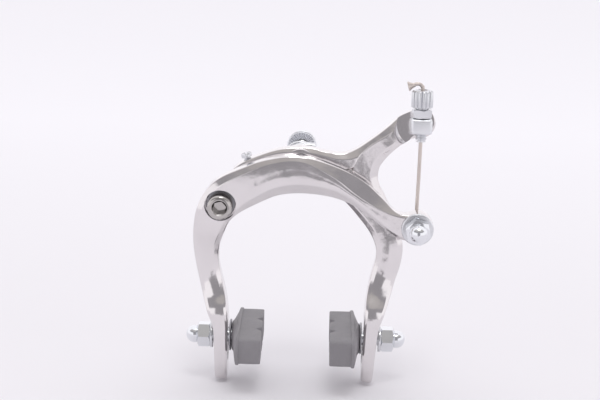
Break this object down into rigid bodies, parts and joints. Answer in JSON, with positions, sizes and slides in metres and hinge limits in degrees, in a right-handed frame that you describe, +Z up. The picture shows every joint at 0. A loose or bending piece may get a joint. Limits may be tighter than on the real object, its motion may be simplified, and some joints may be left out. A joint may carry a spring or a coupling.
{
  "type": "rim brake caliper",
  "caption": "Long-reach dual-pivot side-pull rim brake caliper in polished aluminium, with barrel adjuster, swivelling cable anchor, short setting wire and bolt-through rubber shoes.",
  "frame": {"origin": "on the centre bolt's axis, at the seat washer's rear face, where the caliper meets the fork crown or brake bridge", "axes": "+Y along the centre bolt, back into the bicycle frame; +X toward the cable side; +Z up, away from the wheel's hub"},
  "size_m": [0.1075, 0.0821, 0.1353],
  "materials": {
    "polished_aluminium": "polished",
    "zinc_plate": "bright zinc plate",
    "chrome_plate": "bright plate",
    "dark_steel": "dull steel",
    "bronze": "sintered bronze",
    "wire_steel": "stranded steel",
    "grey_rubber": "matt moulded"
  },
  "bodies": {
    "bridge": {"pivot_bridge": "zinc_plate", "centre_bolt": "zinc_plate", "centre_bushing": "bronze", "side_pivot_bolt": "chrome_plate", "side_pivot_washer": "dark_steel", "side_pivot_bushing": "bronze", "return_spring": "dark_steel", "seat_washer": "zinc_plate", "rear_spacer": "zinc_plate", "serrated_washer": "zinc_plate", "mounting_nut": "zinc_plate"},
    "front_arm": {"front_arm": "polished_aluminium", "screw_rest": "zinc_plate"},
    "rear_arm": {"rear_arm": "polished_aluminium"},
    "centring": {"centring_screw": "zinc_plate"},
    "swivel": {"adjuster_block": "chrome_plate", "adjuster_clip": "dark_steel"},
    "barrel": {"barrel_adjuster": "zinc_plate"},
    "lock_nut": {"adjuster_lock_nut": "zinc_plate"},
    "anchor": {"anchor_bolt": "zinc_plate", "anchor_washer": "zinc_plate", "anchor_nut": "chrome_plate", "inner_wire": "wire_steel"},
    "left_clamp": {"left_shoe_nut": "chrome_plate", "left_shoe_washer": "zinc_plate", "left_dished_washer": "dark_steel"},
    "left_pad": {"left_brake_pad": "grey_rubber", "left_shoe_stud": "zinc_plate"},
    "right_clamp": {"right_shoe_nut": "chrome_plate", "right_shoe_washer": "zinc_plate", "right_dished_washer": "dark_steel"},
    "right_pad": {"right_brake_pad": "grey_rubber", "right_shoe_stud": "zinc_plate"}
  },
  "joints": [
    {"name": "front_arm_pivot", "type": "hinge", "parent": "bridge", "child": "front_arm", "pos_m": [-0.0342, 0, -0.017], "axis": [0, -1, 0], "range_deg": [0, 4.8], "stiffness_Nm_per_rad": 1, "springref_deg": -11.46},
    {"name": "rear_arm_pivot", "type": "hinge", "parent": "bridge", "child": "rear_arm", "pos_m": [0, 0, 0], "axis": [0, 1, 0], "range_deg": [0, 3.75]},
    {"name": "centring_turn", "type": "hinge", "parent": "rear_arm", "child": "centring", "pos_m": [-0.0232, -0.0122, 0.0017], "axis": [-0.3, 0, 0.9539], "range_deg": [-180, 180]},
    {"name": "swivel_turn", "type": "hinge", "parent": "rear_arm", "child": "swivel", "pos_m": [0.052, 0, 0.019], "axis": [0, 1, 0], "range_deg": [-2.4, 0.2]},
    {"name": "barrel_turn", "type": "hinge", "parent": "swivel", "child": "barrel", "pos_m": [0.052, -0.0154, 0.019], "axis": [0, 0, 1], "range_deg": [-360, 360]},
    {"name": "lock_nut_turn", "type": "hinge", "parent": "swivel", "child": "lock_nut", "pos_m": [0.052, -0.0154, 0.019], "axis": [0, 0, 1], "range_deg": [-180, 180]},
    {"name": "anchor_turn", "type": "hinge", "parent": "front_arm", "child": "anchor", "pos_m": [0.0516, 0, -0.0248], "axis": [0, 1, 0], "range_deg": [-0.2, 6.5]},
    {"name": "left_shoe_slide", "type": "slide", "parent": "front_arm", "child": "left_clamp", "axis": [0, 0, 1], "range_m": [-0.008, 0]},
    {"name": "left_pad_angle", "type": "hinge", "parent": "left_clamp", "child": "left_pad", "pos_m": [0, -0.018, -0.0775], "axis": [1, 0, 0], "range_deg": [-12, 12]},
    {"name": "right_shoe_slide", "type": "slide", "parent": "rear_arm", "child": "right_clamp", "axis": [0, 0, 1], "range_m": [-0.008, 0]},
    {"name": "right_pad_angle", "type": "hinge", "parent": "right_clamp", "child": "right_pad", "pos_m": [0, -0.018, -0.0775], "axis": [1, 0, 0], "range_deg": [-12, 12]}
  ],
  "couplings": [
    {"joint": "rear_arm_pivot", "follows": "front_arm_pivot", "ratio": 0.77},
    {"joint": "anchor_turn", "follows": "front_arm_pivot", "ratio": 1.31},
    {"joint": "swivel_turn", "follows": "front_arm_pivot", "ratio": -0.455}
  ]
}
